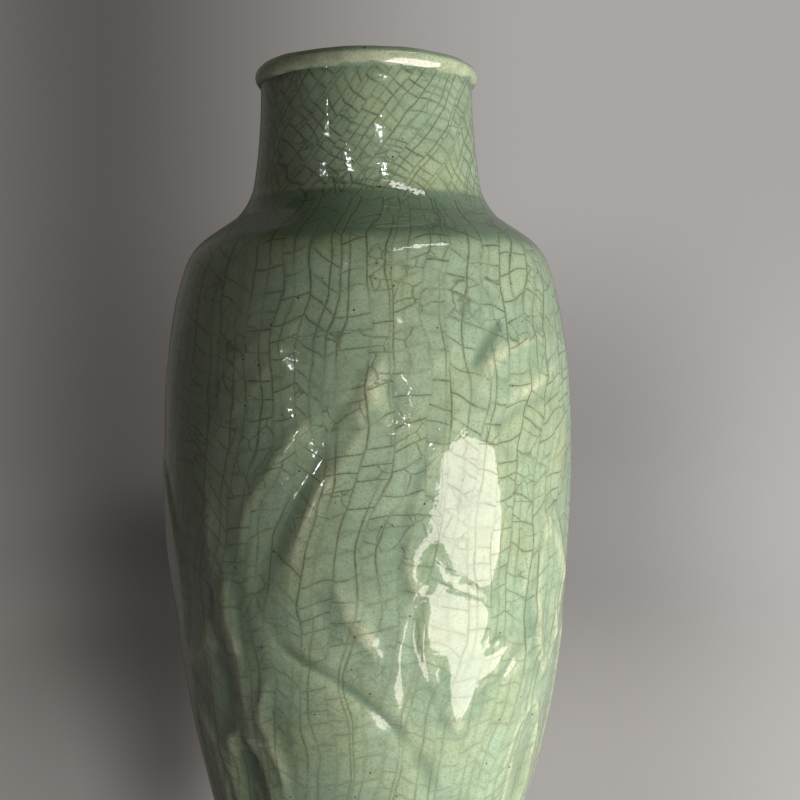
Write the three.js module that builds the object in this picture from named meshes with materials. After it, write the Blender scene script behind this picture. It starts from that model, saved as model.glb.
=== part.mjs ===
// A celadon vase with a straight neck, a rolled lip and leaves in relief, in millimetres, +Z up,
// with its origin at the centre of the foot's resting face. It is built from the pieces that a
// potter lutes together with slip: foot ring, floor slab, three thrown wall rings, neck, lip coil
// and moulded leaves laid on the wall. The shapes are the clay under the glaze.

import * as THREE from "three";

// Driving dimensions
const FOOT_RADIUS = 46.2;
const BELLY_RADIUS = 78.1;
const BELLY_HEIGHT = 194; // where the body is widest
const SHOULDER_RADIUS = 70.2; // where the wall starts to turn in
const SHOULDER_HEIGHT = 261;
const SLOPE_RADIUS = 60; // where the turn ends and the straight slope starts
const SLOPE_HEIGHT = 275.4;
const NECK_BASE_RADIUS = 45;
const NECK_BASE_HEIGHT = 285.6;
const NECK_TOP_RADIUS = 39.8;
const NECK_TOP_HEIGHT = 332;
const LIP_HEIGHT = 339.2; // highest clay of the vase
const LIP_RADIUS = 41.8;
const LIP_SPREAD = 3.8; // half the coil's thickness
const LIP_RISE = 4.8; // from the coil's middle to its top
const WALL = 6; // thrown wall
const NECK_WALL = 5;
const FOOT_INNER_RADIUS = 38.6;
const NECK_HOLE_RADIUS = 39.6; // hole in the shoulder that the neck stands in

// Luted joints
const GAP = 0.3; // room that each joint keeps
const FOOT_TOP = 9.6;
const LOWER_JOINT = 118;
const UPPER_JOINT = 236;
const STEP = 3; // height of the step that locates one ring on the next
const NECK_SPIGOT = 4; // how far the neck reaches down its hole
const TONGUE = { inner: 36.2, outer: 38.2, height: 1 }; // on the neck's top edge, under the lip

const ROUND_STEPS = 48; // facets round the vase

const point = (radius, height) => new THREE.Vector2(radius, height);

// The outside of the clay from foot to neck, as four curves that run into each other.
const footToBelly = new THREE.CubicBezierCurve(
  point(FOOT_RADIUS, 0),
  point(FOOT_RADIUS + 1.7, 22.6),
  point(BELLY_RADIUS, 84),
  point(BELLY_RADIUS, BELLY_HEIGHT),
);
const bellyToShoulder = new THREE.CubicBezierCurve(
  point(BELLY_RADIUS, BELLY_HEIGHT),
  point(BELLY_RADIUS, 222),
  point(SHOULDER_RADIUS + 5.9, 241),
  point(SHOULDER_RADIUS, SHOULDER_HEIGHT),
);
const shoulderTurn = new THREE.CubicBezierCurve(
  point(SHOULDER_RADIUS, SHOULDER_HEIGHT),
  point(SHOULDER_RADIUS - 1.7, 266.4),
  point(SLOPE_RADIUS + 6.6, 270.9),
  point(SLOPE_RADIUS, SLOPE_HEIGHT),
);
const neckFlare = new THREE.CubicBezierCurve(
  point(NECK_BASE_RADIUS, NECK_BASE_HEIGHT),
  point(42.2, 296),
  point(40, 312),
  point(NECK_TOP_RADIUS, NECK_TOP_HEIGHT),
);

// Radius of a rising curve at a height, by halving the stretch that holds it.
function radiusOn(curve, height) {
  let low = 0;
  let high = 1;
  for (let i = 0; i < 40; i++) {
    const middle = (low + high) / 2;
    if (curve.getPoint(middle).y < height) low = middle;
    else high = middle;
  }
  return curve.getPoint(low).x;
}

function wallRadius(height) {
  if (height <= BELLY_HEIGHT) return radiusOn(footToBelly, height);
  if (height <= SHOULDER_HEIGHT) return radiusOn(bellyToShoulder, height);
  return radiusOn(shoulderTurn, height);
}

// Points up the outside of the wall between two heights, moved inwards by depth.
function wallPoints(from, to, steps, depth = 0) {
  return Array.from({ length: steps + 1 }, (_, i) => {
    const height = from + ((to - from) * i) / steps;
    return point(wallRadius(height) - depth, height);
  });
}

function glazedLook(colour) {
  return new THREE.MeshStandardMaterial({ color: colour, roughness: 0.15, metalness: 0 });
}
const bodyClay = glazedLook("#a3b596");
const neckClay = glazedLook("#a9ba9b");
const reliefClay = glazedLook("#bccbac");
const bareClay = new THREE.MeshStandardMaterial({ color: "#9c6f4b", roughness: 0.85, metalness: 0 });

const vase = new THREE.Group();

function addPiece(name, geometry, material) {
  const mesh = new THREE.Mesh(geometry, material);
  mesh.name = name;
  vase.add(mesh);
  return mesh;
}

// A closed section, listed anticlockwise in radius and height, turned round the vase's axis.
function turned(section) {
  const geometry = new THREE.LatheGeometry([...section, section[0]], ROUND_STEPS);
  return geometry.rotateX(Math.PI / 2);
}

// The foot ring carries everything. Its edges are bevelled where the glaze stops.
function footRing() {
  const bevel = 1.4;
  return turned([
    point(FOOT_INNER_RADIUS + bevel, 0),
    point(FOOT_RADIUS - bevel, 0),
    point(wallRadius(bevel), bevel),
    point(wallRadius(FOOT_TOP / 2), FOOT_TOP / 2),
    point(wallRadius(FOOT_TOP), FOOT_TOP),
    point(FOOT_INNER_RADIUS, FOOT_TOP),
    point(FOOT_INNER_RADIUS, bevel),
  ]);
}

// The floor slab drops into the foot ring and rests on its top with a flange.
// Its upper face is slightly dished and its underside slightly arched.
function floorSlab() {
  const plug = FOOT_INNER_RADIUS - GAP;
  const seat = FOOT_TOP + GAP;
  const flange = wallRadius(seat) - WALL - GAP;
  const rim = 13.8;
  const bevel = 1.4;
  const underside = 5.2;
  const section = [
    point(0, underside + 0.4),
    point(plug, underside),
    point(plug, seat),
    point(flange, seat),
    point(flange, rim - bevel),
    point(flange - 2 * bevel, rim),
    point(0, rim - 0.6),
  ];
  return new THREE.LatheGeometry(section, ROUND_STEPS).rotateX(Math.PI / 2);
}

// Where two rings meet, the inner half of the lower one's edge stands up as a step, and the
// upper one's edge is cut back to sit over it. Both steps lean in a little, to draw together.
const DRAFT = 0.12;
const middleRadius = (height) => wallRadius(height) - WALL / 2;
const socket = (from) => [
  point(middleRadius(from) - DRAFT, from + STEP),
  point(middleRadius(from), from),
];
const stepUp = (to) => [
  point(middleRadius(to) - GAP, to),
  point(middleRadius(to) - GAP - DRAFT, to + STEP - GAP),
];

function lowerWall() {
  const from = FOOT_TOP + GAP;
  return turned([
    ...wallPoints(from, LOWER_JOINT, 6),
    ...stepUp(LOWER_JOINT),
    ...wallPoints(from, LOWER_JOINT + STEP - GAP, 3, WALL).reverse(),
  ]);
}

function bellyWall() {
  const from = LOWER_JOINT + GAP;
  return turned([
    ...socket(from),
    ...wallPoints(from, UPPER_JOINT, 5),
    ...stepUp(UPPER_JOINT),
    ...wallPoints(from + STEP, UPPER_JOINT + STEP - GAP, 3, WALL).reverse(),
  ]);
}

// The shoulder ring closes in over the belly and leaves the hole that the neck stands in.
function shoulderWall() {
  const from = UPPER_JOINT + GAP;
  const rim = NECK_BASE_HEIGHT - GAP;
  return turned([
    ...socket(from),
    ...wallPoints(from, SHOULDER_HEIGHT, 3),
    ...shoulderTurn.getPoints(4).slice(1),
    point(NECK_BASE_RADIUS, rim),
    point(NECK_HOLE_RADIUS, rim),
    point(NECK_HOLE_RADIUS, rim - WALL),
    point(SLOPE_RADIUS - WALL, SLOPE_HEIGHT - WALL),
    point(SHOULDER_RADIUS - WALL - 1, SHOULDER_HEIGHT),
    ...wallPoints(from + STEP, SHOULDER_HEIGHT - WALL, 1, WALL).reverse(),
  ]);
}

// The neck stands on the shoulder, with a spigot down its hole and a tongue under the lip.
function neck() {
  const bore = NECK_TOP_RADIUS - NECK_WALL;
  const bottom = NECK_BASE_HEIGHT - NECK_SPIGOT;
  return turned([
    point(NECK_HOLE_RADIUS - GAP, bottom),
    point(NECK_HOLE_RADIUS - GAP, NECK_BASE_HEIGHT),
    ...neckFlare.getPoints(5),
    point(TONGUE.outer, NECK_TOP_HEIGHT),
    point(TONGUE.outer, NECK_TOP_HEIGHT + TONGUE.height),
    point(TONGUE.inner, NECK_TOP_HEIGHT + TONGUE.height),
    point(TONGUE.inner, NECK_TOP_HEIGHT),
    point(bore, NECK_TOP_HEIGHT),
    point(bore + 1.2, bottom),
  ]);
}

// The lip is a rolled coil: most of an ellipse, cut flat underneath where it sits.
function lipCoil() {
  const seat = NECK_TOP_HEIGHT + GAP;
  const centre = point(LIP_RADIUS - LIP_SPREAD, LIP_HEIGHT - LIP_RISE);
  const cut = Math.asin((centre.y - seat) / LIP_RISE);
  const roll = new THREE.EllipseCurve(centre.x, centre.y, LIP_SPREAD, LIP_RISE, -cut, Math.PI + cut);
  return turned([
    ...roll.getPoints(9),
    point(TONGUE.inner - GAP, seat),
    point(TONGUE.inner - GAP, seat + TONGUE.height),
    point(TONGUE.outer + GAP, seat + TONGUE.height),
    point(TONGUE.outer + GAP, seat),
  ]);
}

// The relief. A place on the wall is (along, height): along is the distance round the
// belly from the front, to the right, at RELIEF_RADIUS.
const RELIEF_RADIUS = 79;

function onWall(along, height, proud) {
  const angle = along / RELIEF_RADIUS;
  const radius = wallRadius(height) + GAP + proud;
  return new THREE.Vector3(radius * Math.sin(angle), -radius * Math.cos(angle), height);
}

// Height of a leaf's face across it: a thin edge, a raised rim, a dished blade, a midrib.
const LEAF_EDGE = 0.28;
function leafRise(across) {
  const side = Math.abs(across);
  if (side > 0.99) return LEAF_EDGE;
  if (side > 0.7) return 1;
  return side > 0.15 ? 0.58 : 0.86;
}

// Skins a row of closed sections and caps both ends, as one closed body facing out.
function lofted(sections) {
  const count = sections[0].length;
  const positions = sections.flat().flatMap((p) => p.toArray());
  const faces = [];
  for (let row = 0; row < sections.length - 1; row++) {
    for (let i = 0; i < count; i++) {
      const next = (i + 1) % count;
      const a = row * count + i;
      const b = row * count + next;
      faces.push(a, b, a + count, b, b + count, a + count);
    }
  }
  const last = (sections.length - 1) * count;
  for (let i = 1; i < count - 1; i++) {
    faces.push(0, i + 1, i);
    faces.push(last, last + i, last + i + 1);
  }
  const geometry = new THREE.BufferGeometry();
  geometry.setAttribute("position", new THREE.Float32BufferAttribute(positions, 3));
  geometry.setIndex(faces);
  return geometry;
}

// A leaf laid on the wall from base to tip. bend bows it to its left, halfWidth is its
// widest, which comes at the share fullest of its length, and thick is its relief.
const END_WIDTH = 0.5;
function leaf({ base, tip, bend = 0, halfWidth, fullest = 0.42, thick = 1.8, turn = 0 }) {
  const start = new THREE.Vector2(...base);
  const end = new THREE.Vector2(...tip);
  const run = end.clone().sub(start);
  const left = new THREE.Vector2(-run.y, run.x).normalize();
  const middle = start.clone().lerp(end, 0.5).addScaledVector(left, bend * 2);
  const spine = new THREE.QuadraticBezierCurve(start, middle, end);
  const skew = Math.log(0.5) / Math.log(fullest);
  const rows = Math.max(6, Math.round(run.length() / 8.5));
  const wide = halfWidth > 15;
  const face = wide
    ? [-1, -0.86, -0.58, -0.36, -0.2, 0, 0.2, 0.36, 0.58, 0.86, 1]
    : halfWidth > 5.5
      ? [-1, -0.78, -0.3, 0, 0.3, 0.78, 1]
      : [-1, -0.72, 0, 0.72, 1];
  const back = wide ? [0.8, 0.5, 0.17, -0.17, -0.5, -0.8] : halfWidth > 8 ? [0.33, -0.33] : [0];
  const sections = [];
  for (let row = 0; row <= rows; row++) {
    const share = row / rows;
    const centre = spine.getPoint(share);
    const heading = spine.getTangent(share);
    const side = new THREE.Vector2(-heading.y, heading.x);
    const width = END_WIDTH + (halfWidth - END_WIDTH) * Math.sin(Math.PI * share ** skew) ** 0.8;
    const place = (across, rise) => {
      const p = centre.clone().addScaledVector(side, -across * width);
      return onWall(p.x + turn * RELIEF_RADIUS, p.y, rise);
    };
    const swell = thick * Math.min(1, width / 3.2);
    sections.push([
      ...face.map((across) => place(across, Math.max(leafRise(across) * swell, LEAF_EDGE))),
      place(1, 0),
      ...back.map((across) => place(across, 0)),
      place(-1, 0),
    ]);
  }
  return lofted(sections);
}

// A stem is a half-round ridge along a curve through a few places on the wall.
function stem({ path, halfWidth, thick, turn = 0 }) {
  const spine = new THREE.SplineCurve(path.map((p) => new THREE.Vector2(...p)));
  const rows = 14;
  const sections = [];
  for (let row = 0; row <= rows; row++) {
    const centre = spine.getPoint(row / rows);
    const heading = spine.getTangent(row / rows);
    const side = new THREE.Vector2(-heading.y, heading.x);
    const place = (across, rise) => {
      const p = centre.clone().addScaledVector(side, -across * halfWidth);
      return onWall(p.x + turn * RELIEF_RADIUS, p.y, rise);
    };
    sections.push([
      place(-1, 0.3),
      place(-0.6, thick * 0.85),
      place(0.6, thick * 0.85),
      place(1, 0.3),
      place(1, 0),
      place(-1, 0),
    ]);
  }
  return lofted(sections);
}

// The moulds of one half of the vase. The other half is laid from the same moulds.
const leafMoulds = {
  broad_leaf: { base: [4, 32], tip: [-43, 143], bend: -11, halfWidth: 25.5, fullest: 0.38, thick: 2 },
  pocket_leaf: { base: [-50, 38], tip: [-59, 99], bend: 1, halfWidth: 9.5, fullest: 0.6, thick: 2 },
  side_leaf_low: { base: [-84, 34], tip: [-87, 120], bend: -2, halfWidth: 12, fullest: 0.45, thick: 1.9 },
  side_leaf_high: { base: [-110, 196], tip: [-86, 124], bend: 3, halfWidth: 11, fullest: 0.5, thick: 1.9 },
  reed_leaf: { base: [-51, 107], tip: [-64, 192], bend: -1, halfWidth: 5, fullest: 0.5, thick: 1.5 },
  slanting_leaf: { base: [-46, 150], tip: [-9, 224], bend: 8, halfWidth: 7.8, fullest: 0.5, thick: 1.9 },
  upper_left_leaf: { base: [-60, 202], tip: [-20, 247], bend: 4, halfWidth: 8.5, fullest: 0.45, thick: 1.6 },
  upper_right_leaf: { base: [23, 210], tip: [102, 236], bend: 7, halfWidth: 10.5, fullest: 0.42, thick: 1.9 },
  right_leaf: { base: [83, 107], tip: [68, 180], bend: -2, halfWidth: 11.5, fullest: 0.5, thick: 2.1 },
  right_leaf_low: { base: [56, 36], tip: [76, 105], bend: -3, halfWidth: 10.5, fullest: 0.5, thick: 2.1 },
  small_blade: { base: [46, 115], tip: [65, 131], bend: -1, halfWidth: 3.2, fullest: 0.5, thick: 1.4 },
  centre_leaf_high: { base: [38, 151], tip: [32, 204], bend: -1, halfWidth: 11, fullest: 0.42, thick: 1.9 },
  centre_leaf_low: { base: [33, 106], tip: [33, 149], bend: 1.5, halfWidth: 10.5, fullest: 0.7, thick: 1.9 },
  centre_leaf_small: { base: [1, 129], tip: [-12, 158], bend: -1, halfWidth: 4.6, fullest: 0.5, thick: 1.3 },
  bud: { base: [-4, 213], tip: [5, 231], bend: 0, halfWidth: 4.8, fullest: 0.5, thick: 1.5 },
  edge_reed: { base: [121, 44], tip: [112, 132], bend: 2, halfWidth: 6, fullest: 0.5, thick: 1.6 },
};
const stemMould = {
  path: [
    [12.5, 164],
    [15.5, 155],
    [13.5, 142],
    [11, 130],
    [11, 119],
    [15, 107],
  ],
  halfWidth: 1.9,
  thick: 1.6,
};

addPiece("foot_ring", footRing(), bareClay);
addPiece("floor_slab", floorSlab(), bodyClay);
addPiece("lower_wall", lowerWall(), bodyClay);
addPiece("belly_wall", bellyWall(), bodyClay);
addPiece("shoulder_wall", shoulderWall(), bodyClay);
addPiece("neck", neck(), neckClay);
addPiece("lip_coil", lipCoil(), neckClay);

const sides = { front: 0, back: Math.PI };
for (const [side, turn] of Object.entries(sides)) {
  for (const [name, mould] of Object.entries(leafMoulds)) {
    addPiece(`${name}_${side}`, leaf({ ...mould, turn }), reliefClay);
  }
  addPiece(`stem_${side}`, stem({ ...stemMould, turn }), reliefClay);
}

export default vase;
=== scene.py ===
import math

import bpy
import numpy as np
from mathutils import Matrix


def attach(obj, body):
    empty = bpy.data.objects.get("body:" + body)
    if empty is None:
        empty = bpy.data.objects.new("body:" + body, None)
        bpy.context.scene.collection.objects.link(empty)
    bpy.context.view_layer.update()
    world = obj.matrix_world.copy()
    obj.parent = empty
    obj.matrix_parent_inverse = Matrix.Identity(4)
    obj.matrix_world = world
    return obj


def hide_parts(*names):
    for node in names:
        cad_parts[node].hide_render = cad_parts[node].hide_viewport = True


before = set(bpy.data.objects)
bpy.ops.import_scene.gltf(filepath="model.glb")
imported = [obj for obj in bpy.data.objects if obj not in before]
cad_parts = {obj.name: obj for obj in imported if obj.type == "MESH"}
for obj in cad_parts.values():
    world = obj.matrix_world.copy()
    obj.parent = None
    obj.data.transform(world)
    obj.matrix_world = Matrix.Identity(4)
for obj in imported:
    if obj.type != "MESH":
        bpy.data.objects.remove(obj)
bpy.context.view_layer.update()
print("frame loaded with", len(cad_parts), "clay pieces")

# Lengths below are in millimetres, and meshes are written in metres.
toMetres = 0.001

camera = {
    "distance": 451,  # from the vase's axis
    "height": 240,
    "lens": 51.75,
    "pitchDown": 3.48,  # degrees
    "yawRight": 1.57,
    "roll": 0.3,
}


def addObject(name, data):
    obj = bpy.data.objects.new(name, data)
    bpy.context.scene.collection.objects.link(obj)
    return obj


def makeCamera():
    data = bpy.data.cameras.new("viewCamera")
    data.lens = camera["lens"]
    data.sensor_width = 36
    data.clip_start = 0.02
    obj = addObject("viewCamera", data)
    obj.location = (0, -camera["distance"] * toMetres, camera["height"] * toMetres)
    turns = (90 - camera["pitchDown"], camera["roll"], -camera["yawRight"])
    obj.rotation_euler = [math.radians(degrees) for degrees in turns]
    bpy.context.scene.camera = obj


# Profiles of the vase. Each point is (radius, height), and the clay curves are the ones
# that the frame's rings follow.
vase = {
    "glaze": 0.8,  # thickness of the glaze coat outside
    "glazeInside": 0.4,
    "wall": 6,
    "footToBelly": [(46.2, 0), (47.9, 22.6), (78.1, 84), (78.1, 194)],
    "bellyToShoulder": [(78.1, 194), (78.1, 222), (76.1, 241), (70.2, 261)],
    "shoulderTurn": [(70.2, 261), (68.5, 266.4), (66.6, 270.9), (60, 275.4)],
    "slopeEnd": (45, 285.6),
    "neckFlare": [(45, 285.6), (42.2, 296), (40, 312), (39.8, 332)],
    "glazeEdge": 3.4,  # height at which the glaze stops above the foot's resting face
    "footTop": 9.6,
    "neckHole": 39.6,
    "neckBore": 34.8,
    "neckTop": 332,
}


def bezier(controls, steps):
    a, b, c, d = (np.array(p, float) for p in controls)
    t = np.linspace(0, 1, steps + 1)[:, None]
    return a * (1 - t) ** 3 + 3 * b * t * (1 - t) ** 2 + 3 * c * t * t * (1 - t) + d * t ** 3


def clayOutside():
    parts = [
        bezier(vase["footToBelly"], 80),
        bezier(vase["bellyToShoulder"], 40)[1:],
        bezier(vase["shoulderTurn"], 24)[1:],
        np.array([vase["slopeEnd"]], float),
    ]
    return np.concatenate(parts)


def wallRadius(height):
    profile = clayOutside()
    return np.interp(height, profile[:, 1], profile[:, 0])


def pointsAt(line, lengths, at):
    return np.stack([np.interp(at, lengths, line[:, i]) for i in (0, 1)], 1)


def evenlySpaced(line, count):
    lengths = np.r_[0, np.cumsum(np.linalg.norm(np.diff(line, axis=0), axis=1))]
    at = np.linspace(0, lengths[-1], count)
    return pointsAt(line, lengths, at)


def lineNormals(line):
    along = np.gradient(line, axis=0)
    normal = np.stack([along[:, 1], -along[:, 0]], 1)
    return normal / np.linalg.norm(normal, axis=1)[:, None]


def roundTurn(centre, radii, start, end, steps):
    angle = np.radians(np.linspace(start, end, steps + 1))
    return np.stack([centre[0] + radii[0] * np.cos(angle), centre[1] + radii[1] * np.sin(angle)], 1)


def anglesOf(columns):
    return np.arange(columns) * 2 * math.pi / columns


# A section turned round the axis. section is a closed loop of (radius, height), up the outside
# and down the inside. lift is how far each point of the grid is moved along its normal, depth how
# thick the glaze pools there and how much painted shade lies there, detail how much of the flat
# map a row gets, and crazed how far the glaze is crackled.
def turnedMesh(name, section, columns, lift=None, depth=None, closed=True, detail=None, crazed=1.0):
    rows = len(section)
    angle = anglesOf(columns)
    points = np.repeat(section[None], columns, axis=0)
    if lift is not None:
        points = points + lift[:, :, None] * lineNormals(section)[None]
    vertices = np.stack([
        points[:, :, 0] * np.sin(angle)[:, None],
        -points[:, :, 0] * np.cos(angle)[:, None],
        points[:, :, 1],
    ], 2).reshape(-1, 3) * toMetres
    column = np.arange(columns)[:, None]
    row = np.arange(rows if closed else rows - 1)[None]
    nextColumn, nextRow = (column + 1) % columns, (row + 1) % rows
    faces = np.stack([
        column * rows + row, nextColumn * rows + row,
        nextColumn * rows + nextRow, column * rows + nextRow,
    ], 2).reshape(-1, 4).tolist()
    # places on the flat map: round the vase, then along the section by its weight
    weight = np.ones(rows) if detail is None else detail
    steps = (np.linalg.norm(np.roll(section, -1, axis=0) - section, axis=1) * weight)[:row.size]
    up = np.r_[0, np.cumsum(steps)] / steps.sum()
    u0, u1, v0, v1 = (np.broadcast_to(side, (columns, row.size)) for side in (
        column / columns, (column + 1) / columns, up[row], up[row + 1]))
    places = np.stack([u0, v0, u1, v0, u1, v1, u0, v1], 2).reshape(-1, 2)
    if not closed:
        vertices, faces, places = closePoles(vertices, columns, rows, faces, places)
    mesh = bpy.data.meshes.new(name)
    mesh.from_pydata(vertices.tolist(), [], faces)
    mesh.uv_layers.new(name="OFBake").data.foreach_set("uv", places.ravel())
    setValues(mesh, "poolingAndShade", np.zeros(len(vertices)) if depth is None else depth.ravel())
    setValues(mesh, "crazing", np.full(len(vertices), crazed))
    mesh.polygons.foreach_set("use_smooth", np.ones(len(faces), bool))
    mesh.update()
    return addObject(name, mesh)


def setValues(mesh, name, values):
    mesh.attributes.new(name, "FLOAT", "POINT").data.foreach_set("value", values)


def valuesOf(items, name, width, kind=float):
    values = np.zeros(len(items) * width, kind)
    items.foreach_get(name, values)
    return values.reshape(-1, width)


# The first and the last point of the section lie on the axis, so each becomes one vertex.
def closePoles(vertices, columns, rows, faces, places):
    merged = np.arange(columns * rows).reshape(columns, rows)
    merged[:, 0], merged[:, -1] = 0, rows - 1
    used, numbers = np.unique(merged, return_inverse=True)
    newFaces, newPlaces = [], []
    for face, spots in zip(numbers.ravel()[faces].tolist(), places.reshape(-1, 4, 2)):
        kept = [i for i in range(4) if face[i] not in face[:i]]
        newFaces.append([face[i] for i in kept])
        newPlaces.extend(spots[kept])
    return vertices[used], newFaces, np.array(newPlaces)


# The relief. Places are (along, height): along is the distance round the belly from the front,
# to the right, at reliefRadius. The same moulds were laid on the front and on the back.
reliefRadius = 79
relief = {
    "soften": 0.85,  # blur that the thick glaze gives the relief
    "wander": 0.1,  # unevenness of the hand-worked ground
    "endWidth": 0.9,
}
# Each leaf: base and tip, how far it bends to its left, half its width, the share of its length
# where it is fullest, the height of its rim, how far its middle lies below that, how far its edge
# takes to rise, and how pointed its ends are.
leafColumns = ("base", "tip", "bend", "half", "fullest", "rise", "dish", "side", "point")
leaves = {
    "side_leaf_high": ((-110, 196), (-86, 124), 3, 12, 0.5, 1.3, 0.5, 3, 0.8),
    "side_leaf_low": ((-84, 34), (-87, 120), -2, 13, 0.45, 1.3, 0.5, 3, 0.8),
    "edge_reed": ((121, 44), (112, 132), 2, 6.5, 0.5, 1.1, 0.2, 2.5, 0.8),
    "upper_left_leaf": ((-60, 202), (-20, 247), 4, 9, 0.45, 0.6, 0.4, 4, 0.8),
    "upper_right_leaf": ((23, 208), (102, 234), 7, 11.5, 0.42, 0.8, 0.5, 3.5, 0.8),
    "reed_leaf": ((-51, 107), (-64, 192), -1, 6, 0.5, 0.7, 0.2, 3, 0.8),
    "slanting_leaf": ((-42, 146), (-5, 219), 5, 10.5, 0.5, 0.6, 1.0, 4, 0.8),
    "right_leaf": ((81, 112), (75, 179), -2, 14.5, 0.5, 1.3, 0.6, 2.5, 0.8),
    "right_leaf_low": ((66, 36), (76, 105), -3, 12, 0.6, 1.1, 1.7, 2.5, 0.8),
    "small_blade": ((49, 113), (68, 131), -1, 3.4, 0.5, 0.4, 0, 2, 0.8),
    "centre_leaf_high": ((28, 149), (36, 214), 0, 20.5, 0.3, 0.8, 0.1, 2.8, 0.4),
    "centre_leaf_low": ((34, 101), (31, 158), 1, 15.5, 0.68, 0.8, 0.1, 2.6, 0.4),
    "centre_lobe": ((36, 116), (57, 134), 0, 6, 0.5, 0.85, 0, 2, 0.5),
    "centre_leaf_small": ((3, 129), (-13, 158), -1, 5, 0.5, 0.6, 0, 2.5, 0.8),
    "bud": ((-4, 210), (5, 231), 0, 5, 0.5, 0.5, 0, 2.5, 0.8),
    "pocket_leaf": ((-52, 38), (-56, 100), 1, 13, 0.62, 1.0, 2.3, 2.5, 0.8),
    "broad_leaf": ((4, 32), (-43, 143), -11, 25.5, 0.38, 0.35, 0.1, 5, 0.8),
}
# Strokes of the modelling tool, each drawn upwards: the height of a ridge, or less than 0 for a
# cut, how far it fades out to the left and to the right, and its places.
strokes = {
    "broad left rim": (0.8, 1.6, 4,
        [(-37.5, 90), (-39.7, 97), (-44.4, 104), (-44.4, 110.5), (-41.5, 115.5), (-40, 124)]),
    "broad right rim": (0.3, 8, 1.5, [(8, 102), (-2, 112), (-14, 121), (-27, 128), (-40, 138)]),
    "broad right cut": (-0.75, 6, 1.6,
        [(29, 76), (21, 93), (11, 104), (0, 115), (-12, 124), (-25, 131), (-39, 141)]),
    "broad cut line": (-0.42, 1.2, 1.3,
        [(12, 103), (0, 114), (-12, 122.6), (-25, 129.8), (-37, 137.5)]),
    "pocket rim": (0.95, 1.6, 1.6,
        [(-66.2, 88.5), (-63.8, 95.8), (-58.3, 97.5), (-48.8, 97), (-42.9, 96.5), (-40.1, 94),
         (-37.1, 87.5), (-36.3, 77)]),
    "pocket hollow": (-1.2, 8, 7, [(-52.3, 62), (-52.5, 80), (-53, 92.5)]),
    "pocket tongue": (0.6, 1.6, 1.8, [(-50, 62), (-52, 72), (-54, 80)]),
    "left pool": (-1.3, 7, 6, [(-64.8, 97), (-61.8, 104), (-59.8, 114), (-61.6, 123), (-67, 128)]),
    "edge streak": (0.7, 1.8, 1.6, [(-86.3, 64), (-86.9, 74), (-87.3, 87), (-88.3, 104)]),
    "edge streak low": (0.7, 1.8, 1.6, [(-67, 79.5), (-70.3, 87.5), (-74.7, 94), (-79, 103)]),
    "reed rim": (0.75, 3.5, 1.4, [(-51.4, 128.8), (-52.5, 134), (-54.9, 143), (-54.5, 155)]),
    "reed cut": (-0.7, 2.2, 2.4, [(-56.7, 129), (-65, 136), (-63.8, 144.5), (-61, 154)]),
    "reed high": (0.58, 1.8, 1.8, [(-60, 146), (-62, 160), (-63, 180)]),
    "side rim": (0.7, 5, 1.7, [(-84, 117), (-76, 125), (-69, 131), (-64, 138)]),
    "slant left rim": (0.5, 2.4, 2.8,
        [(-47, 162), (-46, 173), (-41, 184), (-34, 195), (-26, 205), (-15, 213)]),
    "slant hollow": (-0.5, 3.4, 3.4,
        [(-35, 150), (-32, 166), (-28, 178), (-22, 189), (-15, 199), (-9, 208)]),
    "slant right rim": (0.5, 2, 4.5,
        [(-29, 158), (-24, 172), (-17, 186), (-9, 198), (-3, 208), (-6, 215)]),
    "small leaf": (0.4, 3.2, 2, [(1.2, 136), (-1.2, 138.5), (-5, 143), (-10, 147.5)]),
    "small leaf shade": (-0.36, 3, 3, [(-13, 134), (-15, 145), (-19, 156)]),
    "bud rim": (0.43, 3, 1.8, [(5, 210), (2, 218), (-2, 227)]),
    "bud pit": (-0.43, 2.2, 2.6, [(8, 207), (9, 216), (7, 224)]),
    "streak": (0.36, 2, 2, [(18, 226), (25, 230), (32, 235)]),
    "upper cut": (-0.79, 3.4, 1.6, [(37, 224), (41, 232), (46, 238), (53, 243)]),
    "upper rim": (0.5, 1.7, 6, [(38, 216), (41, 224), (46, 232), (54, 240)]),
    "upper low rim": (0.5, 6, 1.8, [(46, 216), (60, 219), (76, 222), (92, 223)]),
    "upper low cut": (-0.43, 2.6, 2.6, [(42, 205), (54, 211), (70, 215), (86, 216)]),
    "upper vein": (0.29, 2.4, 2.4, [(46, 231), (60, 235), (78, 237)]),
    "shoulder line": (0.22, 2, 2, [(18, 253), (45, 256), (75, 256), (100, 253)]),
    "centre cut": (-0.2, 1.7, 1.7, [(48, 147), (38, 153), (28, 157), (25, 163), (21, 170)]),
    "centre wedge": (-0.15, 2, 2.4, [(20, 152), (19.5, 160), (20.5, 169)]),
    "centre dent": (-0.28, 3.4, 3.4, [(30, 180), (30, 190), (31, 199)]),
    "low cut": (-0.12, 1.3, 1.3, [(17, 144), (23, 150.5), (28, 156)]),
    "low shade": (-0.3, 2, 2.6, [(26, 102), (26, 117), (24, 131)]),
    "stem": (0.35, 2, 2.2, [(10, 121), (10, 128), (10.5, 137), (13, 147), (15, 156), (12, 164)]),
    "stem foot": (0.15, 2.6, 2.6, [(18, 94), (14, 104), (11, 113), (10, 122)]),
    "blade": (0.3, 1.6, 2.2, [(51, 115), (59, 123), (68, 130)]),
    "right tongue": (0.8, 2, 2, [(76, 120), (72, 130), (69, 144)]),
    "far tongue": (0.8, 2, 2, [(89, 126), (84, 139)]),
    "right rim": (0.7, 1.8, 5, [(60, 146), (61, 159), (66, 169), (75, 177)]),
    "far rim": (0.7, 5, 1.8, [(96, 146), (88, 156), (78, 167), (70, 174)]),
    "low arch": (0.75, 1.8, 1.8, [(60, 78), (64, 94), (71, 102), (79, 103), (84, 95), (87, 80)]),
    "mid right": (0.32, 1.7, 1.7, [(51, 176), (54, 186), (57, 197)]),
}


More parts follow.
